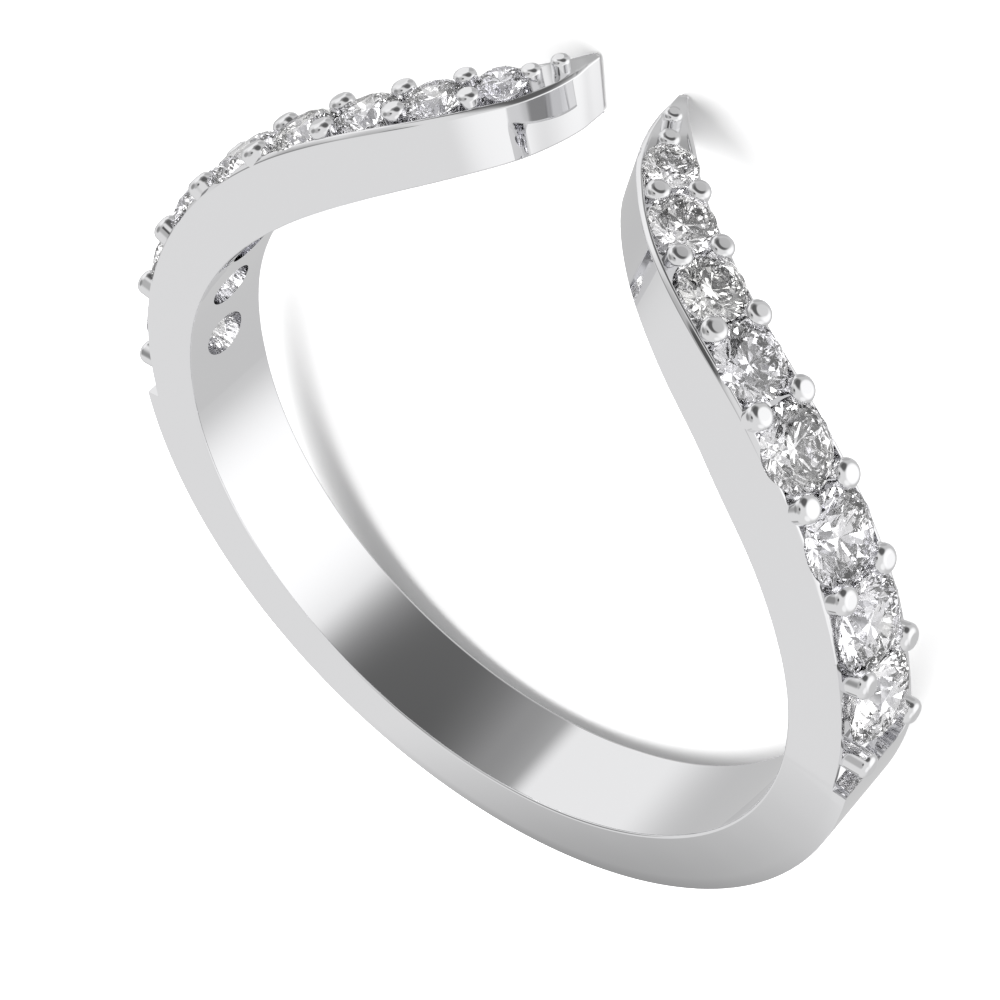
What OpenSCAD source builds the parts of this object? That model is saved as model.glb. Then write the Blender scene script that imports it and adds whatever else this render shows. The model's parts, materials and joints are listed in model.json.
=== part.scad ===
// Open-front band ring with two swept arms set with round stones.
// The ring lies on its side, on the two tips of its arms and the bottom of its shank.
// Angles run around the finger hole from the middle of the gap. Drift runs along the finger,
// 0 at the upper side face and negative towards the side that the ring lies on.

/* [Finger hole] */
// Radius of the finger hole
bore_r = 8.65; // [8.6:0.05:9.4]
// How much further out the hole's wall lies along the middle of each arm
relief = 0.005; // [0.005:0.001:0.015]

/* [Shank] */
// Width of the shank along the finger
shank_w = 2.64; // [2.6:0.02:2.9]
// Thickness of the shank wall at its two edges
shank_wall = 1.68; // [1.6:0.02:1.9]
// How far the outside of the shank bulges between its edges
shank_crown = 0.05; // [0.04:0.01:0.2]
// Angle from the gap at which the full shank begins
shank_start = 95.9; // [95.5:0.1:96.1]

/* [Arms] */
// Width of the thin rim on each side of the stones
rim_w = 0.14; // [0.1:0.01:0.18]
// Depth of the recess under the near rim, shallower towards the tip
recess_depth = 0.21; // [0.18:0.01:0.26]
// Angle at which the recess ends, a little way into the shank
pocket_end = 96.2; // [96.1:0.1:97]
// Radius of the recess's round corner at the far side of its end
pocket_corner = 0.45; // [0.3:0.05:0.6]

/* [Stones] */
// Height of the stones' girdles over the finger hole
girdle_h = 1.5; // [1.46:0.01:1.54]
// Gap between a stone and the metal around it
seat_gap = 0.03; // [0.02:0.005:0.04]
// Width of the open hole under a stone, as a share of the stone
hole_share = 0.55; // [0.4:0.01:0.6]

/* [Prongs] */
// Radius of the rounding on top of a prong, as a share of its width
prong_round = 0.25; // [0.15:0.01:0.3]

/* [Hidden] */
$fn = 64;
eps = 0.01;

// Proportions of a round brilliant cut, as shares of its diameter and in degrees
table_share = 0.57;
girdle_share = 0.025;
star_share = 0.3817;
lower_share = 0.115;
crown_slope = 34.5;
pavilion_slope = 40.8;

// Edges of an arm, a row for each section from the tip to the shank. The lean columns say
// how far the foot of the wall lies from its rim.
//       near    near   far     far     near    far     lean    near    far
//       angle   drift  angle   drift   height  height  angle   lean    lean
arm_rows = [
    [ 6.0,   -6.25,   6.9,  -6.36,   1.31,   1.31,  -1.05,  0.20,   0.25],
    [ 6.15,  -5.90,   7.8,  -6.15,   1.33,   1.33,  -1.15,  0.20,   0.20],
    [ 6.25,  -5.45,   9.1,  -5.87,   1.35,   1.35,  -1.05,  0.22,   0.12],
    [  7.1,  -4.75,  11.2,  -5.48,   1.39,   1.39,  -0.85,  0.12,   0.06],
    [  8.9,  -4.00,  13.6,  -5.06,   1.43,   1.43,  -0.80,  0.05,   0.00],
    [ 11.4,  -3.40,  16.2,  -4.58,   1.47,   1.47,  -0.80,  0.03,   0.00],
    [ 14.7,  -2.75,  19.5,  -4.10,   1.51,   1.51,  -0.50,  0.00,   0.00],
    [ 18.9,  -2.14,  23.2,  -3.69,   1.55,   1.55,  -0.20,  0.00,   0.00],
    [ 24.3,  -1.61,  28.0,  -3.26,   1.58,   1.58,   0.00,  0.04,   0.00],
    [ 31.0,  -1.18,  33.8,  -2.90,   1.59,   1.59,   0.00,  0.11,   0.00],
    [ 38.7,  -0.85,  41.0,  -2.66,   1.59,   1.59,   0.00,  0.16,   0.00],
    [ 47.5,  -0.52,  48.9,  -2.52,   1.57,   1.57,   0.00,  0.18,   0.00],
    [ 58.5,  -0.30,  59.0,  -2.47,   1.52,   1.52,   0.00,  0.15,   0.00],
    [ 70.0,  -0.14,  70.2,  -2.51,   1.45,   1.45,   0.00,  0.09,   0.00],
    [ 82.0,  -0.05,  82.0,  -2.58,   1.38,   1.44,   0.00,  0.03,   0.00],
    [ 95.0,  -0.02,  95.0,  -2.62,   1.33,   1.62,   0.00,  0.00,   0.00],
    [ 99.0,  -0.02,  99.0,  -2.62,   1.33,   1.65,   0.00,  0.00,   0.00]];

// The stones of one arm, a row for each from the tip
//       angle   drift   diameter
stone_rows = [
    [12.7,  -4.29,   1.20],
    [18.7,  -3.27,   1.48],
    [26.5,  -2.53,   1.55],
    [35.6,  -1.93,   1.74],
    [46.5,  -1.55,   1.96],
    [58.5,  -1.36,   2.12],
    [71.1,  -1.30,   2.18],
    [83.7,  -1.28,   2.20]];

// The pairs of prongs, each between a stone and the next, the last one past the last stone
//       angle   drift   spread   width   top
prong_pairs = [
    [15.7,  -3.78,   0.88,    0.54,   1.78],
    [22.6,  -2.90,   1.00,    0.58,   1.83],
    [31.05, -2.23,   1.16,    0.62,   1.86],
    [41.05, -1.74,   1.29,    0.66,   1.88],
    [52.4,  -1.46,   1.37,    0.69,   1.91],
    [64.45, -1.33,   1.44,    0.70,   1.93],
    [76.75, -1.30,   1.62,    0.66,   1.95],
    [90.6,  -1.32,   1.76,    0.62,   1.97]];

// The share of its depth that the recess has in the first rows of an arm. It starts where the
// share rises over 0.
depth_share = [-0.2, -0.15, -0.05, 0.3, 0.5, 0.65, 0.8, 0.9];

// The two single prongs that hold the first stone at the tip
//       angle   drift   width    top
tip_prongs = [
    [ 8.3,  -5.41,   0.44,   1.72],
    [10.2,  -4.80,   0.48,   1.74]];

SIDES = ["left", "right"];
STONES = len(stone_rows);

shank_r = bore_r + shank_wall;
girdle_r = bore_r + girdle_h;
inner_r = bore_r - 0.6;
cut_r = bore_r + 3;
foot_h = 0.8;
relief_start = 20;
relief_end = 60;
steps = 3;

// The tip of an arm and the lowest edge of the shank carry the ring, which sets its tilt
tip_r = bore_r + arm_rows[0][5];
tip_y = tip_r * cos(arm_rows[0][2]);
tip_z = arm_rows[0][3];
rest_tilt = atan((-tip_z - shank_w) / (tip_y + shank_r));
rest_lift = shank_r * sin(rest_tilt) + shank_w * cos(rest_tilt);
// The middle of the ring's length, from the top of the first tip prong to the shank's upper edge
front_r = bore_r + tip_prongs[0][3];
front_z = tip_prongs[0][1] - tip_prongs[0][2] / 2;
front_y = front_r * cos(tip_prongs[0][0]) * cos(rest_tilt) - front_z * sin(rest_tilt);
back_y = -(shank_r * cos(rest_tilt));
rest_shift = -(front_y + back_y) / 2;

// A value between rows, on a smooth curve through them
function blend(a, b, c, d, t) =
    0.5 * (2 * b + (c - a) * t + (2 * a - 5 * b + 4 * c - d) * t * t + (3 * b - a - 3 * c + d) * t * t * t);
function row_at(rows, i, t) =
    let(n = len(rows) - 1)
    blend(rows[max(i - 1, 0)], rows[i], rows[min(i + 1, n)], rows[min(i + 2, n)], t);
function smooth_rows(rows) =
    [for (i = [0 : len(rows) - 2], k = [0 : steps - 1]) row_at(rows, i, k / steps), rows[len(rows) - 1]];
function floor_at(i) =
    arm_rows[i][4] - recess_depth * (i < len(depth_share) ? depth_share[i] : 1);
sections = smooth_rows([for (i = [0 : len(arm_rows) - 1]) concat(arm_rows[i], floor_at(i))]);
recess_sections = [for (i = [steps : len(sections) - 1 - steps]) sections[i]];

// A point on the ring from its angle, its radius and its drift
function at(angle, r, drift) = [r * sin(angle), r * cos(angle), drift];

// The four corners of an arm's section, with its walls carried on down to inner_r
function arm_corners(s) =
    let(near_r = bore_r + s[4], far_r = bore_r + s[5],
        near_k = (near_r - inner_r) / s[4], far_k = (far_r - inner_r) / s[5])
    [at(s[0] + near_k * s[6], inner_r, s[1] + near_k * s[7]),
     at(s[0], near_r, s[1]),
     at(s[2], far_r, s[3]),
     at(s[2] + far_k * s[6], inner_r, s[3] + far_k * s[8])];

// The four corners of the recess in that section, a rim's width in from each edge
function recess_corners(s) =
    let(arc = PI / 180 * (bore_r + s[4]), da = (s[2] - s[0]) * arc, dz = s[3] - s[1],
        w = norm([da, dz]), ua = rim_w * da / w / arc, uz = rim_w * dz / w)
    [at(s[0] + ua, bore_r + s[9], s[1] + uz),
     at(s[0] + ua, cut_r, s[1] + uz),
     at(s[2] - ua, cut_r, s[3] - uz),
     at(s[2] - ua, bore_r + s[9], s[3] - uz)];

// A closed solid through four-cornered sections
module loft(rings) {
    n = len(rings);
    points = [for (r = rings, p = r) p];
    sides = [for (i = [0 : n - 2], j = [0 : 3])
        [4 * i + j, 4 * i + (j + 1) % 4, 4 * i + 4 + (j + 1) % 4, 4 * i + 4 + j]];
    faces = concat([[3, 2, 1, 0]], sides, [[for (j = [0 : 3]) 4 * (n - 1) + j]]);
    polyhedron(points, faces);
}

// Stands its children on the ring, their Z pointing out of it
module on_ring(angle, r, drift) {
    rotate([0, 0, -angle]) translate([0, r, drift]) rotate([-90, 0, 0]) children();
}

// Lays the ring down as it rests
module resting() {
    translate([0, rest_shift, rest_lift]) rotate([rest_tilt, 0, 0]) children();
}

module both_arms() {
    children();
    mirror([1, 0, 0]) children();
}

// The plain part of the ring, bulged a little on the outside
module shank() {
    sweep = 360 - 2 * shank_start;
    bulge_r = (shank_w * shank_w / 4 + shank_crown * shank_crown) / (2 * shank_crown);
    rotate([0, 0, shank_start - 270]) rotate_extrude(angle = sweep, $fn = 128)
        intersection() {
            translate([inner_r - 0.2, -shank_w]) square([shank_wall + 1.2, shank_w]);
            translate([shank_r + shank_crown - bulge_r, -shank_w / 2]) circle(bulge_r, $fn = 128);
        }
}

// The lean of the line from stone i to the next, across which its pair of prongs stands
function stone_lean(i) =
    let(a = stone_rows[i], b = i == STONES - 1 ? prong_pairs[i] : stone_rows[i + 1])
    atan2(b[1] - a[1], (b[0] - a[0]) * PI / 180 * girdle_r);

// A round post that stands from inside the floor up to its top, with a rounded edge there
module prong(width, top) {
    r = width / 2;
    f = prong_round * width;
    foot = bore_r + foot_h;
    h = bore_r + top - foot;
    translate([0, 0, foot]) rotate_extrude($fn = 32) union() {
        square([r, h - f]);
        square([r - f, h]);
        translate([r - f, h - f]) circle(f, $fn = 32);
    }
}

module prongs() {
    for (p = tip_prongs) on_ring(p[0], 0, p[1]) prong(p[2], p[3]);
    for (i = [0 : STONES - 1], side = [-1, 1]) {
        p = prong_pairs[i];
        lean = stone_lean(i);
        half = side * p[2] / 2;
        turn = half * sin(lean) / (PI / 180 * (bore_r + p[4]));
        on_ring(p[0] - turn, 0, p[1] + half * cos(lean)) prong(p[3], p[4]);
    }
}

// The room that a stone takes in the metal, with the open hole under it
module seat(d) {
    r = d / 2;
    g = seat_gap;
    hole = hole_share * r;
    girdle = girdle_share * d;
    drop = (r + g - hole) * tan(pavilion_slope);
    // The crown's facets meet above the cone from its girdle to its table
    bulge = star_share * d * (1 - cos(22.5)) * tan(crown_slope);
    table = table_share * r + g;
    top = girdle + bulge + (r + g - table) * tan(crown_slope) + g;
    rotate_extrude($fn = 48)
        polygon([[0, -3], [hole, -3], [hole, -drop], [r + g, 0], [r + g, girdle + bulge],
            [table, top], [0, top]]);
}

// The end of the recess behind the last prongs, square at the near side and round at the far
module pocket() {
    s = arm_rows[len(arm_rows) - 1];
    half = (s[1] - s[3]) / 2 - rim_w - eps;
    r = pocket_corner;
    on_ring(pocket_end, bore_r + s[4] - recess_depth, (s[1] + s[3]) / 2)
        linear_extrude(2) union() {
            translate([-r, half - r]) circle(r);
            translate([-r, -half]) square([r, 2 * half - r]);
            translate([-3 * r, -half]) square([2 * r, 2 * half]);
        }
}

// The finger hole, with the relief between two angles on each arm
module finger_hole() {
    translate([0, 0, -20]) cylinder(h = 40, r = bore_r, $fn = 128);
    both_arms() rotate([0, 0, 90 - relief_end]) rotate_extrude(angle = relief_end - relief_start, $fn = 128)
        translate([inner_r, -20]) square([bore_r + relief - inner_r, 40]);
}

module band() {
    color("gainsboro") resting() difference() {
        union() {
            difference() {
                union() {
                    shank();
                    both_arms() loft([for (s = sections) arm_corners(s)]);
                }
                both_arms() loft([for (s = recess_sections) recess_corners(s)]);
                both_arms() pocket();
            }
            both_arms() prongs();
        }
        finger_hole();
        both_arms() for (s = stone_rows) on_ring(s[0], girdle_r, s[1]) seat(s[2]);
    }
}

// A brilliant-cut stone, its girdle's lower edge at height 0
module brilliant(d) {
    g = girdle_share * d;
    t = table_share * d / 2;
    crown = (d / 2 - t) * tan(crown_slope);
    star_z = g + crown - (star_share * d * cos(22.5) - t) * tan(crown_slope);
    lower_z = -(d / 2 - lower_share * d * cos(22.5)) * tan(pavilion_slope);
    culet_z = -d / 2 * tan(pavilion_slope);
    function ring_of(n, start, r, z) = [for (i = [0 : n - 1])
        [r * cos(start + i * 360 / n), r * sin(start + i * 360 / n), z]];
    points = concat(
        ring_of(8, 0, t, g + crown), ring_of(8, 22.5, star_share * d, star_z),
        ring_of(16, 0, d / 2, g), ring_of(16, 0, d / 2, 0),
        ring_of(8, 22.5, lower_share * d, lower_z), [[0, 0, culet_z]]);
    star = 8;
    top = 16;
    low = 32;
    deep = 48;
    culet = 56;
    faces = concat(
        [[for (i = [7 : -1 : 0]) i]],
        [for (i = [0 : 7]) [i, (i + 1) % 8, star + i]],
        [for (i = [0 : 7]) [i, star + i, top + 2 * i, star + (i + 7) % 8]],
        [for (i = [0 : 7]) [star + i, top + 2 * i + 1, top + 2 * i]],
        [for (i = [0 : 7]) [star + i, top + (2 * i + 2) % 16, top + 2 * i + 1]],
        [for (i = [0 : 15]) [top + i, top + (i + 1) % 16, low + (i + 1) % 16, low + i]],
        [for (i = [0 : 7]) [low + 2 * i, low + 2 * i + 1, deep + i]],
        [for (i = [0 : 7]) [low + 2 * i + 1, low + (2 * i + 2) % 16, deep + i]],
        [for (i = [0 : 7]) [low + 2 * i, deep + i, culet, deep + (i + 7) % 8]]);
    polyhedron(points, faces);
}

module stone(side, i) {
    s = stone_rows[i];
    color("white") resting() mirror([side == "left" ? 1 : 0, 0, 0])
        on_ring(s[0], girdle_r, s[1]) rotate([0, 0, stone_lean(i)]) brilliant(s[2]);
}

band();
for (side = SIDES, i = [0 : STONES - 1])
    stone(side, i);
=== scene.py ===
# %% [markdown]
# # An open band ring with two swept arms
# The ring is one cast and polished piece of white metal. Its shank is a plain band, and in
# front it opens into two arms that sweep along the finger and taper to points. Each arm
# carries a row of round brilliant-cut stones between small prongs.
#
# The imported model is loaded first. It is the frame: it says where the finger hole is, how
# the ring lies on the table and how much room there is. Everything new is made around it.

# %% Load the frame
import json
import math

import bmesh
import bpy
from mathutils import Matrix, Vector


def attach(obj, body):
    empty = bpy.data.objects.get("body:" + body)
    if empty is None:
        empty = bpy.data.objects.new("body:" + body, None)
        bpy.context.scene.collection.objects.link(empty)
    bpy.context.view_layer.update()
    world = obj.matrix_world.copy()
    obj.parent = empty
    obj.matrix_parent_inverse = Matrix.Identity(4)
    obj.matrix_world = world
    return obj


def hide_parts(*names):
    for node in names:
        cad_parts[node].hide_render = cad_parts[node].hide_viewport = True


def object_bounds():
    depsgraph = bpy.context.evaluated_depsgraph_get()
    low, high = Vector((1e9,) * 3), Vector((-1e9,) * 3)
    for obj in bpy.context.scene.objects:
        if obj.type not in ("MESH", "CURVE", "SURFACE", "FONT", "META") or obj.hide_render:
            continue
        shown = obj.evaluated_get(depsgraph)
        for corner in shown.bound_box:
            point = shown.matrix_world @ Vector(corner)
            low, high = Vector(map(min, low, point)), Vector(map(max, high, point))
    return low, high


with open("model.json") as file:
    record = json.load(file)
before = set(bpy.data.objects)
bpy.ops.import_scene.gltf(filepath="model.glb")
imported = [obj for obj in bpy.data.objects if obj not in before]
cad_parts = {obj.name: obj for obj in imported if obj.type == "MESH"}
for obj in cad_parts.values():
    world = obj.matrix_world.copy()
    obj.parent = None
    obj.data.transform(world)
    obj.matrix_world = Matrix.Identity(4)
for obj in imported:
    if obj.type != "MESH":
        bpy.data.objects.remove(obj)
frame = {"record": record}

MM = 0.001
# Places that are nearer to each other than this count as one
SMALL = 1e-3 * MM
cad_low, cad_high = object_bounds()
cad_size = cad_high - cad_low
print("frame's box in mm:", [round(side / MM, 2) for side in cad_size])

# %% [markdown]
# ## The ring's own directions
# A ring is easiest to make around its own axis: the finger hole along Z, the middle of the
# open front at +Y. A place on it is then an angle from the gap, a distance from the axis and
# a drift along the finger, as a jeweller would read it off a mandrel. When a piece is
# finished it is laid down the way the real ring lies, on its two tips and the far edge of its
# shank. The finger hole's mount in the frame says how far it leans and where its middle is.

# %% From the ring's directions to the table's
hole = next(m for m in frame["record"]["mounts"] if m["name"] == "finger_hole")
BORE_R = hole["dims"]["r_mm"] * MM
SHANK_W = 2.64 * MM
lean_axis = Vector(hole["axis"])
rest_tilt = math.atan2(-lean_axis.y, lean_axis.z)
middle_of_hole = Vector((0, 0, -SHANK_W / 2))
lie_down = (
    Matrix.Translation(Vector(hole["pos_m"]))
    @ Matrix.Rotation(rest_tilt, 4, "X")
    @ Matrix.Translation(-middle_of_hole)
)
print("the ring leans", round(math.degrees(rest_tilt), 2), "degrees")


def on_ring(angle, radius, drift):
    """A place on the ring, from degrees, metres and metres."""
    turn = math.radians(angle)
    return Vector((radius * math.sin(turn), radius * math.cos(turn), drift))


def let_go():
    """Nothing stays selected, so that the next operator acts only on its own piece."""
    for piece in bpy.context.selected_objects:
        piece.select_set(False)
    bpy.context.view_layer.objects.active = None


def take(piece):
    """Makes this piece the only one that is selected, and the active one."""
    let_go()
    piece.select_set(True)
    bpy.context.view_layer.objects.active = piece


def set_down(piece, place):
    """Moves a piece by a matrix and applies it, so that its object stays at the origin."""
    piece.matrix_world = place
    take(piece)
    bpy.ops.object.transform_apply(location=True, rotation=True, scale=True)


# %% [markdown]
# ## The camera
# The photograph looks down on the ring from in front of its gap and from the side of its
# upper face, with the ring turned so that the gap points up. A camera placed in the ring's
# own directions and laid down with it keeps that view. It is a long lens, so that the ring
# doesn't look swollen at the near side.

# %% Camera
camera_data = bpy.data.cameras.new("photo_camera")
camera = bpy.data.objects.new("photo_camera", camera_data)
bpy.context.scene.collection.objects.link(camera)
camera_data.lens = 98.4
camera_data.sensor_width = 36
camera_data.clip_start = 0.005
camera_data.clip_end = 10
camera_place = Vector((26.05, 47.97, 31.24)) * MM
camera_right = Vector((0.7916, -0.0187, -0.6108)).normalized()
camera_back = Vector((0.4147, 0.7505, 0.5145))
camera_back = (camera_back - camera_back.dot(camera_right) * camera_right).normalized()
camera_up = camera_back.cross(camera_right)
turned = Matrix((camera_right, camera_up, camera_back)).transposed().to_4x4()
camera.matrix_world = lie_down @ Matrix.Translation(camera_place) @ turned
bpy.context.scene.camera = camera
print("camera", round(camera.matrix_world.translation.z / MM, 1), "mm above the table")

# %% [markdown]
# ## The arm's outline
# Seen from the front, each arm is bounded by two long edges that sweep away from the shank
# and meet at the tip. They could be drawn as curves and filled, but the arm also bends round
# the finger, so a row for each section is simpler: the angle and drift of the near and the
# far edge, and how high the rim stands over the finger hole. A smooth curve through the rows
# gives the sections between them. The lean says how far the foot of each wall lies from its
# rim, and the last column how high the floor between the rims lies. It rises to them at the tip.

# %% Sections of an arm, from the tip to the shank
# Angles are in degrees and all else is in mm. Heights count from the finger hole.
#       near    near    far     far     near    far     lean    near    far     floor
#       angle   drift   angle   drift   height  height  angle   lean    lean    height
ARM_ROWS = [
    ( 6.0,  -6.25,   6.9,  -6.36,   1.31,   1.31,   -1.05,  0.20,   0.25,   1.37),
    ( 6.15, -5.90,   7.8,  -6.15,   1.33,   1.33,   -1.15,  0.20,   0.20,   1.37),
    ( 6.25, -5.45,   9.1,  -5.87,   1.35,   1.35,   -1.05,  0.22,   0.12,   1.38),
    ( 7.1,  -4.75,  11.2,  -5.48,   1.39,   1.39,   -0.85,  0.12,   0.06,   1.39),
    ( 8.9,  -4.00,  13.6,  -5.06,   1.43,   1.43,   -0.8,   0.05,   0.00,   1.36),
    (11.4,  -3.40,  16.2,  -4.58,   1.47,   1.47,   -0.8,   0.03,   0.00,   1.335),
    (14.7,  -2.75,  19.5,  -4.10,   1.51,   1.51,   -0.5,   0.00,   0.00,   1.34),
    (18.9,  -2.14,  23.2,  -3.69,   1.55,   1.55,   -0.2,   0.00,   0.00,   1.36),
    (24.3,  -1.61,  28.0,  -3.26,   1.58,   1.58,    0.0,   0.04,   0.00,   1.37),
    (31.0,  -1.18,  33.8,  -2.90,   1.59,   1.59,    0.0,   0.11,   0.00,   1.38),
    (38.7,  -0.85,  41.0,  -2.66,   1.59,   1.59,    0.0,   0.16,   0.00,   1.38),
    (47.5,  -0.52,  48.9,  -2.52,   1.57,   1.57,    0.0,   0.18,   0.00,   1.36),
    (58.5,  -0.30,  59.0,  -2.47,   1.52,   1.52,    0.0,   0.15,   0.00,   1.31),
    (70.0,  -0.12,  70.2,  -2.51,   1.45,   1.45,    0.0,   0.09,   0.00,   1.24),
    (82.0,  -0.03,  82.0,  -2.58,   1.38,   1.44,    0.0,   0.03,   0.00,   1.17),
    (94.6,   0.00,  94.6,  -2.64,   1.33,   1.64,    0.0,   0.00,   0.00,   1.12),
]
STEPS_PER_ROW = 5
RIM_W = 0.14
# At the narrow tip, a rim takes no more than this share of the arm's width
WIDEST_RIM = 0.36
SHANK_HEIGHT = 1.69
# The recess's end, in the shank: angle, height and width of the far rim, and how far the floor
# has risen
RECESS_END = [
    (95.2, 1.67, 0.20, 0.02),
    (95.7, 1.68, 0.33, 0.07),
    (96.0, SHANK_HEIGHT, 0.60, 0.15),
]


def smooth(before, a, b, after, t):
    """A value between a and b on a smooth curve through the rows."""
    return 0.5 * (
        2 * a + (b - before) * t + (2 * before - 5 * a + 4 * b - after) * t * t
        + (3 * a - before - 3 * b + after) * t ** 3
    )


def section_rows():
    """The rows of the outline, with the steps between them filled in."""
    rows = []
    last = len(ARM_ROWS) - 1
    for i in range(last):
        around = [ARM_ROWS[min(max(k, 0), last)] for k in (i - 1, i, i + 1, i + 2)]
        for step in range(STEPS_PER_ROW):
            rows.append([smooth(*column, step / STEPS_PER_ROW) for column in zip(*around)])
    rows.append(list(ARM_ROWS[last]))
    return rows


def section_corners(row, far_rim=RIM_W):
    """Six corners: foot, rim, recess edge, and the same on the far side."""
    near_angle, near_drift, far_angle, far_drift, near_height, far_height = row[:6]
    lean_angle, near_lean, far_lean = row[6:9]
    arc = math.radians(far_angle - near_angle) * (BORE_R / MM + near_height)
    across = math.hypot(arc, far_drift - near_drift)
    corners = [on_ring(near_angle + lean_angle, BORE_R, (near_drift + near_lean) * MM)]
    for part, height in (
        (0, near_height),
        (min(RIM_W / across, WIDEST_RIM), near_height),
        (1 - min(far_rim / across, WIDEST_RIM), far_height),
        (1, far_height),
    ):
        angle = near_angle + part * (far_angle - near_angle)
        drift = near_drift + part * (far_drift - near_drift)
        corners.append(on_ring(angle, BORE_R + height * MM, drift * MM))
    corners.append(on_ring(far_angle + lean_angle, BORE_R, (far_drift + far_lean) * MM))
    return corners


rows = section_rows()
arm_sections = [section_corners(row) for row in rows]
near_height = ARM_ROWS[-1][4]
for angle, far_height, far_rim, _ in RECESS_END:
    row = (angle, 0, angle, -SHANK_W / MM, near_height, far_height, 0, 0, 0)
    arm_sections.append(section_corners(row, far_rim))
SHANK_START = RECESS_END[-1][0]
print(len(arm_sections), "sections from the tip to the end of the recess")

# %% [markdown]
# ## Sweeping the band
# The band starts as a small six-cornered disc at the tip. It is extruded from section to
# section, each corner moved to its place, and the last section is spun round the finger hole
# to the bottom of the shank. Only one half is made this way. A mirror gives the other, so
# both arms are surely alike.


# %% Helpers for work in edit mode
def edit_mesh(piece):
    """The mesh of a piece in edit mode, with its lists ready to be counted through."""
    shape = bmesh.from_edit_mesh(piece.data)
    shape.verts.ensure_lookup_table()
    shape.edges.ensure_lookup_table()
    shape.faces.ensure_lookup_table()
    return shape


def pick(piece, kind, wanted):
    """In edit mode: selects just the verts, edges or faces that wanted() says yes to."""
    bpy.ops.mesh.select_mode(type={"verts": "VERT", "edges": "EDGE", "faces": "FACE"}[kind])
    bpy.ops.mesh.select_all(action="DESELECT")
    shape = edit_mesh(piece)
    count = 0
    for element in getattr(shape, kind):
        if wanted(element):
            element.select_set(True)
            count += 1
    shape.select_flush_mode()
    bmesh.update_edit_mesh(piece.data)
    return count


def extrude_to(piece, corners, targets):
    """In edit mode: extrudes the picked face and moves each new corner to its target."""
    bpy.ops.mesh.extrude_region_move()
    fresh = [v for v in edit_mesh(piece).verts if v.select]
    order = [min(fresh, key=lambda v: (v.co - corner).length).index for corner in corners]
    move_each(piece, order, targets)


def move_each(piece, order, targets):
    """In edit mode: moves the vertices one by one to their targets, then picks them all."""
    for index, target in zip(order, targets):
        bpy.ops.mesh.select_all(action="DESELECT")
        vertex = edit_mesh(piece).verts[index]
        vertex.select_set(True)
        bpy.ops.transform.translate(value=target - vertex.co)
    shape = edit_mesh(piece)
    for index in order:
        shape.verts[index].select_set(True)
    shape.select_flush_mode()


def apply_modifier(piece, kind, **settings):
    """Adds a modifier with its settings and applies it."""
    take(piece)
    modifier = piece.modifiers.new(kind.lower(), kind)
    for name, value in settings.items():
        setattr(modifier, name, value)
    bpy.ops.object.modifier_apply(modifier=modifier.name)


# %% One half of the band, then both
SPIN_STEPS = 42


def sweep_half_band():
    """One arm and its half of the shank, open where the other half joins it."""
    let_go()
    bpy.ops.mesh.primitive_circle_add(vertices=6, radius=MM, fill_type="NGON")
    piece = bpy.context.object
    piece.name = "band_metal"
    bpy.ops.object.mode_set(mode="EDIT")
    bpy.ops.mesh.select_mode(type="VERT")
    move_each(piece, range(6), arm_sections[0])
    for corners, targets in zip(arm_sections, arm_sections[1:]):
        extrude_to(piece, corners, targets)
    rest_of_turn = 180 - SHANK_START
    bpy.ops.mesh.spin(
        steps=SPIN_STEPS, angle=math.radians(rest_of_turn), center=(0, 0, 0), axis=(0, 0, 1)
    )
    pick(piece, "faces", lambda f: all(abs(v.co.x) < SMALL for v in f.verts))
    bpy.ops.mesh.delete(type="ONLY_FACE")
    bpy.ops.object.mode_set(mode="OBJECT")
    return piece


band = sweep_half_band()
apply_modifier(band, "MIRROR", use_axis=(True, False, False), merge_threshold=SMALL)
print("swept band:", len(band.data.vertices), "vertices,", len(band.data.polygons), "faces")

# %% [markdown]
# ## The shank and the recess
# Between the rims of an arm a recess is cut for the stones, which ends in a small upright wall
# in the shank, where its far corner and its floor are rounded by the cutter. The far rim
# rises into the shank, but the near one ends in a step there. Booleans could cut all this, but
# the sweep already has the edges where it starts. So the strip between the rims is extruded
# and cast onto a smaller cylinder, which makes a floor of even height over the finger hole,
# and the shank's strips are extruded and cast onto a larger one. Then each section's two
# corners of the floor are raised to their height, which brings it up to the rims at the tip.

# %% Sink the recess and raise the shank
SHANK_R = BORE_R + SHANK_HEIGHT * MM
FLOOR_HEIGHT = 1.12
FLOOR_R = BORE_R + FLOOR_HEIGHT * MM
# An arm is solid from its tip to the fourth row of its outline
FIRST_OF_RECESS = 3 * STEPS_PER_ROW
# Angles that are nearer to each other than this count as one, in degrees
SMALL_ANGLE = 0.02


def angle_of(place):
    """A place's angle from the gap in degrees, the same on both arms."""
    return math.degrees(math.atan2(abs(place.x), place.y))


def radius_of(place):
    """How far a place is from the finger hole's axis."""
    return math.hypot(place.x, place.y)


def on_side_edge(vertex):
    """Does one of the wall's edges, down to the finger hole, end at this vertex?"""
    return any(radius_of(e.other_vert(vertex).co) < BORE_R + SMALL for e in vertex.link_edges)


def is_outer(face):
    """Is this a face of the band's outside, between or on the rims?"""
    return min(radius_of(v.co) for v in face.verts) > BORE_R + MM


def in_recess(face):
    """Is this a face between an arm's rims, past its solid tip?"""
    between_rims = not any(on_side_edge(v) for v in face.verts)
    furthest = max(angle_of(v.co) for v in face.verts)
    past_tip = furthest > angle_of(arm_sections[FIRST_OF_RECESS][3]) + SMALL_ANGLE
    before_shank = furthest < SHANK_START + SMALL_ANGLE
    return is_outer(face) and between_rims and past_tip and before_shank


def is_low_on_shank(face):
    """Is this a face of the shank that still lies at the height of the near rim?"""
    on_far_edge = any(v.co.z < -SHANK_W + SMALL for v in face.verts)
    past_recess = angle_of(face.calc_center_median()) > SHANK_START + SMALL_ANGLE
    return is_outer(face) and past_recess and not on_far_edge


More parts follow.
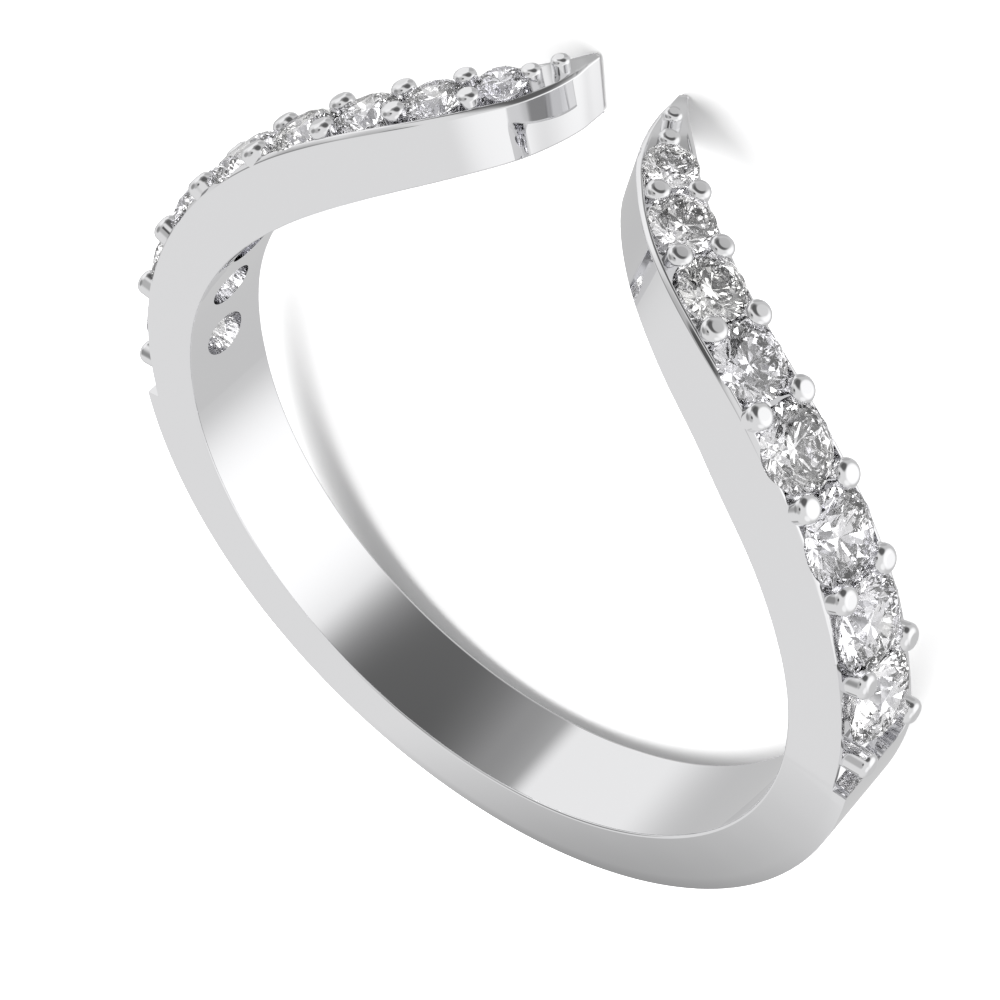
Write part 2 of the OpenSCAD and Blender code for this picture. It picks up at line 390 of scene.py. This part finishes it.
def extrude_and_cast(piece, wanted, radius):
    """Extrudes the wanted faces and rounds them to a cylinder about the finger hole's axis."""
    take(piece)
    bpy.ops.object.mode_set(mode="EDIT")
    count = pick(piece, "faces", wanted)
    bpy.ops.mesh.extrude_region_move()
    bpy.ops.object.vertex_group_add()
    bpy.ops.object.vertex_group_assign()
    group = piece.vertex_groups.active.name
    bpy.ops.object.mode_set(mode="OBJECT")
    apply_modifier(
        piece, "CAST", cast_type="CYLINDER", factor=1.0, use_z=False, size=radius,
        use_radius_as_size=False, vertex_group=group,
    )
    piece.vertex_groups.clear()
    return count


def raise_floor(piece, section, rise):
    """In edit mode: raises the floor's two corners in this section by some mm."""

    def is_corner(vertex):
        beside = [
            abs(angle_of(vertex.co) - angle_of(corner)) < SMALL_ANGLE
            and abs(vertex.co.z - corner.z) < SMALL
            for corner in section[2:4]
        ]
        return any(beside) and abs(radius_of(vertex.co) - FLOOR_R) < SMALL

    if rise > 0 and pick(piece, "verts", is_corner):
        higher = 1 + rise * MM / FLOOR_R
        bpy.ops.transform.resize(value=(higher, higher, 1), center_override=(0, 0, 0))


print(extrude_and_cast(band, in_recess, FLOOR_R), "faces make the floors of the recess")
print(extrude_and_cast(band, is_low_on_shank, SHANK_R), "faces make the shank")
take(band)
bpy.ops.object.mode_set(mode="EDIT")
for section, row in zip(arm_sections, rows):
    raise_floor(band, section, row[9] - FLOOR_HEIGHT)
for section, (_, _, _, rise) in zip(arm_sections[-len(RECESS_END):], RECESS_END):
    raise_floor(band, section, rise)
bpy.ops.mesh.select_all(action="SELECT")
bpy.ops.mesh.remove_doubles(threshold=SMALL)
bpy.ops.mesh.normals_make_consistent(inside=False)
bpy.ops.object.mode_set(mode="OBJECT")

# %% [markdown]
# ## Soft edges
# No polished edge is truly sharp: the wheel rounds it a little, and that line catches the
# light. The two edges of the finger hole are rounded most, so that the ring is comfortable.
# The outer edges of the arms' rims get a flat slant, which shows as a bright line along each
# arm and narrows towards both of its ends. A bevel that follows each edge's own weight makes
# it, since the bevel tool in edit mode is as wide at the fine tip as elsewhere and would tear it.
# The finger hole's edges are bevelled next, and a bevel modifier that only acts on sharp
# corners breaks all the others.

# %% Round the edges
FINGER_EDGE = 0.07 * MM
RIM_EDGE = 0.08 * MM
FINE_EDGE = 0.022 * MM
SHARP_CORNER = math.radians(40)
# The drift at which the slant of the rims starts, and the length over which it grows
SLANT_START, SLANT_GROWTH = -6.3 * MM, 0.9 * MM
# The angle at which it ends, and the degrees over which it fades before that
SLANT_END, SLANT_FADE = 74, 14


def is_finger_edge(edge):
    """Does this edge part the wall of the finger hole from a side of the band?"""
    in_hole = all(radius_of(v.co) < BORE_R + SMALL for v in edge.verts)
    sides = [max(radius_of(v.co) for v in face.verts) > BORE_R + SMALL for face in edge.link_faces]
    return in_hole and any(sides) and not all(sides)


def is_rim_edge(edge):
    """Does this edge part the outside of an arm from its side wall?"""
    on_arm = all(angle_of(v.co) < SLANT_END and radius_of(v.co) > BORE_R + MM for v in edge.verts)
    walls = [min(radius_of(v.co) for v in face.verts) < BORE_R + SMALL for face in edge.link_faces]
    return on_arm and any(walls) and not all(walls)


def slant_rims(piece):
    """Slants the outer edges of the rims, less and less towards the tip and the shank."""
    take(piece)
    bpy.ops.object.mode_set(mode="EDIT")
    count = pick(piece, "edges", is_rim_edge)
    bpy.ops.object.mode_set(mode="OBJECT")
    weights = piece.data.attributes.new("bevel_weight_edge", "FLOAT", "EDGE")
    for edge in piece.data.edges:
        if edge.select:
            ends = [piece.data.vertices[i].co for i in edge.vertices]
            past_tip = (min(end.z for end in ends) - SLANT_START) / SLANT_GROWTH
            before_shank = (SLANT_END - max(angle_of(end) for end in ends)) / SLANT_FADE
            weights.data[edge.index].value = min(max(past_tip, 0), max(before_shank, 0), 1)
    apply_modifier(
        piece, "BEVEL", width=RIM_EDGE, segments=1, limit_method="WEIGHT", use_clamp_overlap=False
    )
    return count


rim_edges = slant_rims(band)
bpy.ops.object.mode_set(mode="EDIT")
finger_edges = pick(band, "edges", is_finger_edge)
bpy.ops.mesh.bevel(offset=FINGER_EDGE, segments=4, affect="EDGES", clamp_overlap=False)
bpy.ops.object.mode_set(mode="OBJECT")
apply_modifier(
    band, "BEVEL", width=FINE_EDGE, segments=2, limit_method="ANGLE",
    angle_limit=SHARP_CORNER, use_clamp_overlap=False,
)
print(rim_edges, "edges of the rims slanted,", finger_edges, "of the finger hole rounded")
print(len(band.data.polygons), "faces")

# %% [markdown]
# ## Prongs
# Small round posts stand up from the recess: a pair past each stone and two single ones at the
# tip. A setter presses their heads over the stones' edges. Here they are plain round posts with
# flat, softly rounded heads. One is made from a cylinder whose upper edge is bevelled, and the
# others are copies of it in their own widths.

# %% Rows of stones and prongs
# Angles are in degrees and all else is in mm. A top is the height over the finger hole.
GIRDLE_R = BORE_R + 1.5 * MM
#      angle   drift   width
STONES = [
    (12.7,  -4.29,   1.20),
    (18.7,  -3.27,   1.48),
    (26.5,  -2.53,   1.55),
    (35.6,  -1.93,   1.74),
    (46.5,  -1.55,   1.96),
    (58.5,  -1.36,   2.12),
    (71.1,  -1.30,   2.18),
    (83.7,  -1.28,   2.20),
]
#      angle   drift   spread  width   top
PRONG_PAIRS = [
    (15.7,  -3.78,   0.88,   0.54,   1.78),
    (22.6,  -2.90,   1.00,   0.58,   1.83),
    (31.05, -2.23,   1.16,   0.62,   1.86),
    (41.05, -1.74,   1.29,   0.66,   1.88),
    (52.4,  -1.46,   1.37,   0.69,   1.91),
    (64.45, -1.33,   1.44,   0.70,   1.93),
    (76.75, -1.30,   1.62,   0.66,   1.95),
    (90.6,  -1.32,   1.76,   0.62,   1.97),
]
#      angle   drift   width   top
TIP_PRONGS = [
    ( 8.3,  -5.41,   0.44,   1.72),
    (10.2,  -4.80,   0.48,   1.74),
]


def row_lean(i):
    """How steeply the row of stones drifts along the finger at stone i, in radians."""
    here, there = STONES[i], (STONES + PRONG_PAIRS[-1:])[i + 1]
    return math.atan2(there[1] - here[1], math.radians(there[0] - here[0]) * GIRDLE_R / MM)


def stand_up(angle, radius, drift, turn=0.0, width=1.0):
    """The matrix that stands a piece on the ring, its own Z pointing outwards."""
    return (
        Matrix.Rotation(math.radians(-angle), 4, "Z")
        @ Matrix.Translation((0, radius, drift))
        @ Matrix.Rotation(math.radians(-90), 4, "X")
        @ Matrix.Rotation(turn, 4, "Z")
        @ Matrix.Scale(width, 4)
    )


def prong_places():
    """The matrices that stand one arm's prongs in their places, in their own widths."""
    places = [stand_up(a, BORE_R + top * MM, d * MM, 0, w) for a, d, w, top in TIP_PRONGS]
    for i, (angle, drift, spread, width, top) in enumerate(PRONG_PAIRS):
        top_r = BORE_R + top * MM
        for half in (-spread / 2, spread / 2):
            along = math.degrees(half * math.sin(row_lean(i)) * MM / top_r)
            across = half * math.cos(row_lean(i))
            places.append(stand_up(angle - along, top_r, (drift + across) * MM, 0, width))
    return places


print(len(STONES), "stones and", len(prong_places()), "prongs on each arm")

# %% Make one prong and stand its copies
other_arm = Matrix.Scale(-1, 4, Vector((1, 0, 0)))


def copies_of(master, places, name):
    """A copy of the master, with its own mesh, for each place."""
    copies = []
    for place in places:
        take(master)
        bpy.ops.object.duplicate(linked=False)
        copy = bpy.context.object
        copy.name = name
        set_down(copy, place)
        copies.append(copy)
    return copies


def turn_right_side_out(piece):
    """Makes all faces point outwards again, after a mirror or a join."""
    take(piece)
    bpy.ops.object.mode_set(mode="EDIT")
    bpy.ops.mesh.select_all(action="SELECT")
    bpy.ops.mesh.normals_make_consistent(inside=False)
    bpy.ops.object.mode_set(mode="OBJECT")


def joined(pieces, name):
    """Joins the pieces into the first of them, which gets the name."""
    let_go()
    for piece in pieces:
        piece.select_set(True)
    bpy.context.view_layer.objects.active = pieces[0]
    bpy.ops.object.join()
    pieces[0].name = name
    turn_right_side_out(pieces[0])
    return pieces[0]


def make_prong():
    """A prong 1 mm wide with its head at height 0. Copies are scaled to their widths."""
    length, soft_edge = 1.7 * MM, 0.3 * MM
    let_go()
    bpy.ops.mesh.primitive_cylinder_add(vertices=40, radius=0.5 * MM, depth=length)
    piece = bpy.context.object
    set_down(piece, Matrix.Translation((0, 0, -length / 2)))
    bpy.ops.object.mode_set(mode="EDIT")
    pick(piece, "edges", lambda e: all(v.co.z > -SMALL for v in e.verts))
    bpy.ops.mesh.bevel(offset=soft_edge, segments=8, affect="EDGES")
    bpy.ops.object.mode_set(mode="OBJECT")
    return piece


prong = make_prong()
places = prong_places()
prongs = joined(copies_of(prong, places + [other_arm @ p for p in places], "prong"), "prongs")
bpy.data.objects.remove(prong)
print("prongs:", len(prongs.data.polygons), "faces")

# %% [markdown]
# ## Seats
# Under each stone the setter drills an open hole, so that light gets in from behind, and
# flares it to the stone's own slope. The prongs get a notch in which the stone's edge sits. One
# turned cutter makes the hole, the flare and the notches. It is built up from a disc, extruded
# and resized step by step, and its copies are taken away with a Boolean, the one tool that
# can cut a round hole through a curved wall.
#
# The metal is then shaded smooth. Each face counts by its area, so that flat walls stay flat
# right up to their soft edges. The faces of a ring in metres are too small for that sum, so the
# band is a thousand times larger while it is made.

# %% Cut the seats
# A brilliant's proportions, for a stone 1 mm wide: the slopes above and below its edge, how
# far from its axis the corners of the table and of the stars are, and its thinnest edge
CROWN_SLOPE = math.radians(34.5)
PAVILION_SLOPE = math.radians(40.8)
TABLE = 0.57 / 2
STAR = 0.3817
GIRDLE = 0.025
SIXTEENTH = math.pi / 8
SMOOTH_UNDER = math.radians(32)


def make_seat_cutter():
    """A cutter for a stone 1 mm wide, the lower edge of the stone's girdle at height 0."""
    room, depth = 0.008, 1.6
    hole, edge, head = 0.55 / 2, 0.5 + room, TABLE + room
    flare = (edge - hole) * math.tan(PAVILION_SLOPE)
    girdle = GIRDLE + STAR * (1 - math.cos(SIXTEENTH)) * math.tan(CROWN_SLOPE)
    top = girdle + (edge - head) * math.tan(CROWN_SLOPE) + room
    let_go()
    bpy.ops.mesh.primitive_circle_add(vertices=64, radius=hole * MM, fill_type="NGON")
    piece = bpy.context.object
    set_down(piece, Matrix.Translation((0, 0, -depth * MM)))
    bpy.ops.object.mode_set(mode="EDIT")
    bpy.ops.mesh.select_all(action="SELECT")
    radius, height = hole, -depth
    for next_radius, next_height in ((hole, -flare), (edge, 0), (edge, girdle), (head, top)):
        bpy.ops.mesh.extrude_region_move(
            TRANSFORM_OT_translate={"value": (0, 0, (next_height - height) * MM)}
        )
        wider = next_radius / radius
        bpy.ops.transform.resize(value=(wider, wider, 1), center_override=(0, 0, 0))
        radius, height = next_radius, next_height
    bpy.ops.object.mode_set(mode="OBJECT")
    return piece


cutter = make_seat_cutter()
seats = [stand_up(angle, GIRDLE_R, drift * MM, 0, width) for angle, drift, width in STONES]
cutters = joined(copies_of(cutter, seats + [other_arm @ s for s in seats], "cutter"), "cutters")
for piece in (band, prongs):
    apply_modifier(piece, "BOOLEAN", operation="DIFFERENCE", solver="EXACT", object=cutters)
    print(piece.name, "with its seats cut:", len(piece.data.polygons), "faces")
bpy.data.objects.remove(cutter)
bpy.data.objects.remove(cutters)
band = joined([band, prongs], "ring_metal")
take(band)
bpy.ops.object.shade_smooth_by_angle(angle=SMOOTH_UNDER)
set_down(band, Matrix.Scale(1 / MM, 4))
apply_modifier(band, "WEIGHTED_NORMAL", mode="FACE_AREA", keep_sharp=True)
set_down(band, Matrix.Scale(MM, 4))

# %% [markdown]
# ## Stones
# Each stone is a round brilliant: a table, eight stars, eight kites and sixteen upper halves
# above the girdle, and sixteen lower halves and eight mains below it. A cutter grinds them flat
# one by one on a lap, and the same is done here. A round blank is cut by one plane for each
# facet, and the cut is filled. That gives the slightly wavy girdle of a real stone, which
# placing the corners by hand wouldn't.

# %% Cut one brilliant
CROWN = GIRDLE + (0.5 - TABLE) * math.tan(CROWN_SLOPE)
PAVILION = 0.5 * math.tan(PAVILION_SLOPE)
# How far from the axis the points of the lower halves are
LOWER = 0.115


def cut_facet(piece, *corners):
    """In edit mode: grinds the blank flat along the plane through three corners."""
    a, b, c = (Vector(corner) for corner in corners)
    facing = (b - a).cross(c - a).normalized()
    if facing.z * a.z < 0 or facing.dot(a) < 0:
        facing = -facing
    bpy.ops.mesh.select_all(action="SELECT")
    bpy.ops.mesh.bisect(
        plane_co=a * MM, plane_no=facing, use_fill=True, clear_outer=True, threshold=1e-8
    )


def at_facet(turn, radius, height):
    """A corner of a facet, turn counted in sixteenths of a round."""
    around = turn * SIXTEENTH
    return radius * math.cos(around), radius * math.sin(around), height


def cut_brilliant():
    """A stone 1 mm wide, the lower edge of its girdle at height 0."""
    let_go()
    blank = GIRDLE + CROWN + PAVILION
    bpy.ops.mesh.primitive_cylinder_add(vertices=96, radius=0.5 * MM, depth=blank * MM)
    piece = bpy.context.object
    set_down(piece, Matrix.Translation((0, 0, (CROWN - PAVILION) / 2 * MM)))
    star_height = CROWN - (STAR * math.cos(SIXTEENTH) - TABLE) * math.tan(CROWN_SLOPE)
    lower_height = (LOWER * math.cos(SIXTEENTH) - 0.5) * math.tan(PAVILION_SLOPE)
    bpy.ops.object.mode_set(mode="EDIT")
    cut_facet(piece, *(at_facet(turn, TABLE, CROWN) for turn in (0, 4, 8)))
    for k in range(0, 16, 2):
        table = at_facet(k, TABLE, CROWN)
        star = at_facet(k + 1, STAR, star_height)
        lower = at_facet(k + 1, LOWER, lower_height)
        cut_facet(piece, table, at_facet(k - 1, STAR, star_height), star)
        cut_facet(piece, table, at_facet(k + 2, TABLE, CROWN), star)
        cut_facet(piece, at_facet(k, 0.5, 0), at_facet(k - 1, LOWER, lower_height), lower)
        for edge in (k, k + 1):
            cut_facet(piece, star, at_facet(edge, 0.5, GIRDLE), at_facet(edge + 1, 0.5, GIRDLE))
            cut_facet(piece, lower, at_facet(edge, 0.5, 0), at_facet(edge + 1, 0.5, 0))
    bpy.ops.object.mode_set(mode="OBJECT")
    return piece


brilliant = cut_brilliant()
print("a brilliant has", len(brilliant.data.polygons), "faces")

# %% Set the stones
stones = []
for i, (angle, drift, width) in enumerate(STONES):
    place = stand_up(angle, GIRDLE_R, drift * MM, -row_lean(i), width)
    for side, arm in (("left", other_arm), ("right", Matrix())):
        name = f"stone_{side}_{i + 1}"
        stone = copies_of(brilliant, [arm @ place], f"{name}_cut")[0]
        turn_right_side_out(stone)
        bpy.ops.object.shade_flat()
        stones.append((stone, name))
bpy.data.objects.remove(brilliant)
print(len(stones), "stones set")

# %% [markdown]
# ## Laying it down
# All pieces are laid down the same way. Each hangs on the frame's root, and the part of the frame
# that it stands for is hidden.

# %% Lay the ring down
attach(band, "root")
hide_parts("band")
set_down(band, lie_down)
for stone, node in stones:
    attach(stone, "root")
    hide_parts(node)
    set_down(stone, lie_down)
print("lowest point", round(min(v.co.z for v in band.data.vertices) / MM, 3), "mm")

# %% [markdown]
# ## Polished white metal
# White gold with a rhodium plating, polished to a mirror. A mirror only shows what is round it,
# so the finish is nearly all shader: full metal, a light neutral grey and a very low roughness.
# The polishing wheel leaves it a little uneven, which two noises in the object's own
# coordinates add, one in the roughness and one as a very shallow bump.


# %% Metal
def new_material(name):
    """A material, with its nodes and its links."""
    material = bpy.data.materials.new(name)
    material.use_nodes = True
    return material, material.node_tree.nodes, material.node_tree.links


def noise_on_object(nodes, links, scale, detail):
    """A noise texture in the object's own coordinates, scale in waves per metre."""
    place = nodes.new("ShaderNodeTexCoord")
    noise = nodes.new("ShaderNodeTexNoise")
    noise.inputs["Scale"].default_value = scale
    noise.inputs["Detail"].default_value = detail
    links.new(place.outputs["Object"], noise.inputs["Vector"])
    return noise


def spread_out(nodes, links, value, low, high):
    """Maps a noise, whose values mostly lie from 0.3 to 0.7, to the range from low to high."""
    spread = nodes.new("ShaderNodeMapRange")
    spread.inputs["From Min"].default_value = 0.3
    spread.inputs["From Max"].default_value = 0.7
    spread.inputs["To Min"].default_value = low
    spread.inputs["To Max"].default_value = high
    links.new(value, spread.inputs["Value"])
    return spread.outputs["Result"]


metal, nodes, links = new_material("mirror_polished_white_metal")
shader = nodes["Principled BSDF"]
shader.inputs["Metallic"].default_value = 1.0
shader.inputs["Base Color"].default_value = (0.86, 0.86, 0.87, 1)
wheel_marks = noise_on_object(nodes, links, scale=1500, detail=3)
polish = spread_out(nodes, links, wheel_marks.outputs["Fac"], low=0.02, high=0.04)
links.new(polish, shader.inputs["Roughness"])
unevenness = noise_on_object(nodes, links, scale=450, detail=1)
bump = nodes.new("ShaderNodeBump")
bump.inputs["Strength"].default_value = 0.05
bump.inputs["Distance"].default_value = 0.02 * MM
links.new(unevenness.outputs["Fac"], bump.inputs["Height"])
links.new(bump.outputs["Normal"], shader.inputs["Normal"])
band.data.materials.clear()
band.data.materials.append(metal)

# %% [markdown]
# ## Clear stone
# The stones are as clear as glass and bend light far more, which makes them flash white and
# dark side by side. The shader takes diamond's own refraction and needs more bounces than
# usual, because light turns many times inside before it leaves. The fire, the coloured flashes
# of split light that rays of single colours can't make, is painted into the stones' colour
# instead: a trace of violet and warm white drifting through them.

# %% Stone
clear, nodes, links = new_material("clear_cut_stone")
shader = nodes["Principled BSDF"]
shader.inputs["Transmission Weight"].default_value = 1.0
shader.inputs["IOR"].default_value = 2.417
shader.inputs["Roughness"].default_value = 0.0
# Painted fire: violet and warm white patches in the stones' colour stand in for coloured flashes
# of light
painted_fire_noise = noise_on_object(nodes, links, scale=700, detail=1)
painted_fire_tint = nodes.new("ShaderNodeValToRGB")
painted_fire_tint.color_ramp.elements[0].position = 0.4
painted_fire_tint.color_ramp.elements[0].color = (0.80, 0.795, 0.83, 1)
painted_fire_tint.color_ramp.elements[1].position = 0.6
painted_fire_tint.color_ramp.elements[1].color = (0.87, 0.865, 0.85, 1)
links.new(painted_fire_noise.outputs["Fac"], painted_fire_tint.inputs["Fac"])
links.new(painted_fire_tint.outputs["Color"], shader.inputs["Base Color"])
for stone, _ in stones:
    stone.data.materials.clear()
    stone.data.materials.append(clear)
cycles = bpy.context.scene.cycles
cycles.max_bounces = cycles.transmission_bounces = 24
cycles.glossy_bounces = 12

# %% [markdown]
# ## Floor and light
# The photograph has a plain white ground. The floor is a pale, dull plane under a large soft
# box. Polished metal is only as good as what it reflects, and a white floor close under it
# would wash it out. So the metal's reflections look past the floor and the soft box, into a
# room with a few broad, soft panels, lighter and darker, as a photographer places them round
# a ring.
#
# The stones do see the floor. But a cut stone also throws much of what it sees straight back,
# and in a photograph that is the dark camera. A black card behind the camera, which only light
# on its way through the stones meets, gives them these dark flashes.

# %% Floor
let_go()
bpy.ops.mesh.primitive_plane_add(size=3)
floor = bpy.context.object
floor.name = "floor"
floor.visible_glossy = False
paper, nodes, _ = new_material("white_paper")
shader = nodes["Principled BSDF"]
shader.inputs["Base Color"].default_value = (0.9, 0.9, 0.9, 1)
shader.inputs["Roughness"].default_value = 0.8
shader.inputs["Specular IOR Level"].default_value = 0.1
floor.data.materials.append(paper)


# %% Soft box
def soft_box(name, place, width, height, energy):
    """An area light at a place in mm, facing the ring."""
    lamp = bpy.data.lights.new(name, "AREA")
    lamp.shape = "RECTANGLE"
    lamp.size = width * MM
    lamp.size_y = height * MM
    lamp.energy = energy
    holder = bpy.data.objects.new(name, lamp)
    bpy.context.scene.collection.objects.link(holder)
    holder.location = Vector(place) * MM
    holder.rotation_euler = (-holder.location).to_track_quat("-Z", "Y").to_euler()
    return holder


overhead = soft_box("overhead", (-60, -110, 260), width=500, height=500, energy=3.0)
overhead.visible_glossy = False

# %% The black card behind the camera
CARD_R, CARD_BEHIND = 34 * MM, 2 * MM
let_go()
bpy.ops.mesh.primitive_circle_add(vertices=48, radius=CARD_R, fill_type="NGON")
card = bpy.context.object
card.name = "black_card"
card.matrix_world = camera.matrix_world @ Matrix.Translation((0, 0, CARD_BEHIND))
card.visible_camera = card.visible_glossy = card.visible_diffuse = card.visible_shadow = False
black, nodes, _ = new_material("black_paper")
nodes["Principled BSDF"].inputs["Base Color"].default_value = (0.02, 0.02, 0.02, 1)
card.data.materials.append(black)

# %% The room and its panels
# How bright the lower and the upper half of the room are
ROOM_LOW, ROOM_HIGH = 0.62, 0.80
# Angle round the ring and height over its upper face in degrees, then the panel's half width
# where it is even and where it has faded out, and its brightness
PANELS = [
    (82, -28, 4, 46, 1.20),
    (-20, -12, 10, 30, 0.27),
    (4, -12, 10, 30, 0.10),
    (20, -12, 10, 30, 0.12),
    (-75, -28, 29, 36, 0.93),
    (-125, -28, 6, 42, 0.58),
    (-50, -60, 17, 23, 0.48),
    (-50, 4, 10, 22, 1.00),
    (-25, 56, 15, 34, 0.50),
    (-79, 43, 10, 28, 0.30),
    (98, 20, 8, 26, 1.05),
    (0, 46, 6, 13, 0.10),
    (-162, 23, 1, 9, 0.33),
]
world = bpy.data.worlds.new("room")
bpy.context.scene.world = world
world.use_nodes = True
nodes, links = world.node_tree.nodes, world.node_tree.links
facing = nodes.new("ShaderNodeTexCoord").outputs["Generated"]


def toward(way, no_further, wholly):
    """How near a direction comes to this way: 0 at one angle from it, 1 at the other."""
    dot = nodes.new("ShaderNodeVectorMath")
    dot.operation = "DOT_PRODUCT"
    dot.inputs[1].default_value = way
    links.new(facing, dot.inputs[0])
    spread = nodes.new("ShaderNodeMapRange")
    spread.interpolation_type = "SMOOTHSTEP"
    spread.inputs["From Min"].default_value = math.cos(math.radians(no_further))
    spread.inputs["From Max"].default_value = math.cos(math.radians(wholly))
    links.new(dot.outputs["Value"], spread.inputs["Value"])
    return spread.outputs["Result"]


def mix_in(before, share, level):
    """Lets a share of the light before give way to a level."""
    mix = nodes.new("ShaderNodeMix")
    mix.inputs["B"].default_value = level
    links.new(before, mix.inputs["A"])
    links.new(share, mix.inputs["Factor"])
    return mix.outputs["Result"]


base = nodes.new("ShaderNodeValue")
base.outputs[0].default_value = ROOM_LOW
upper_half = toward((0, 0, 1), no_further=110, wholly=70)
light = mix_in(base.outputs[0], upper_half, ROOM_HIGH)
for angle, height, wholly, no_further, level in PANELS:
    rise = math.radians(height)
    way = lie_down.to_3x3() @ on_ring(angle, math.cos(rise), math.sin(rise))
    light = mix_in(light, toward(way, no_further, wholly), level)
links.new(light, nodes["Background"].inputs["Color"])
bpy.context.scene.view_settings.view_transform = "Standard"
